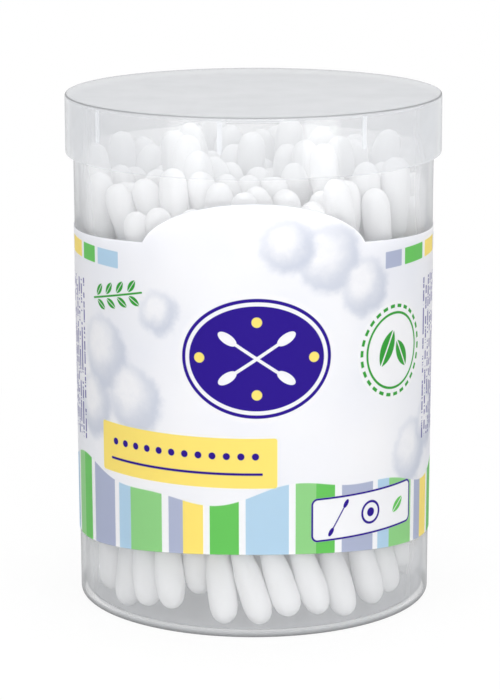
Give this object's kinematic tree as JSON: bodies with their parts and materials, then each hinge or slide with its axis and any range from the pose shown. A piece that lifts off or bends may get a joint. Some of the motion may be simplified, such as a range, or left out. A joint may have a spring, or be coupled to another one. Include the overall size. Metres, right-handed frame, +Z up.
{
  "type": "cotton swab tub",
  "caption": "Round clear plastic tub with a lift-off lid and a wrap-round label, filled with standing double-ended cotton swabs on paper sticks.",
  "frame": {"origin": "centre of the face that the tub stands on", "axes": "+Z up along the tub's axis; -Y is the front, where the label's arch is; +X is to the right as seen from the front"},
  "size_m": [0.0666, 0.0666, 0.0908],
  "materials": {
    "clear_plastic": "clear, slightly hazy",
    "label": "printed film, satin",
    "swab": "white cotton and paper"
  },
  "bodies": {
    "tub": {"tub": "clear_plastic", "label": "label", "swab_01": "swab", "swab_02": "swab", "swab_03": "swab", "swab_04": "swab", "swab_05": "swab", "swab_06": "swab", "swab_07": "swab", "swab_08": "swab", "swab_09": "swab", "swab_10": "swab", "swab_11": "swab", "swab_12": "swab", "swab_13": "swab", "swab_14": "swab", "swab_15": "swab", "swab_16": "swab", "swab_17": "swab", "swab_18": "swab", "swab_19": "swab", "swab_20": "swab", "swab_21": "swab", "swab_22": "swab", "swab_23": "swab", "swab_24": "swab", "swab_25": "swab", "swab_26": "swab", "swab_27": "swab", "swab_28": "swab", "swab_29": "swab", "swab_30": "swab", "swab_31": "swab", "swab_32": "swab", "swab_33": "swab", "swab_34": "swab", "swab_35": "swab", "swab_36": "swab", "swab_37": "swab", "swab_38": "swab", "swab_39": "swab", "swab_40": "swab", "swab_41": "swab", "swab_42": "swab", "swab_43": "swab", "swab_44": "swab", "swab_45": "swab", "swab_46": "swab", "swab_47": "swab", "swab_48": "swab", "swab_49": "swab", "swab_50": "swab", "swab_51": "swab", "swab_52": "swab", "swab_53": "swab", "swab_54": "swab", "swab_55": "swab", "swab_56": "swab", "inner_swabs": "swab"},
    "lid": {"lid": "clear_plastic"}
  },
  "joints": [
    {"name": "lid_lift", "type": "slide", "parent": "tub", "child": "lid", "axis": [0, 0, 1], "range_m": [0, 0.04]}
  ]
}
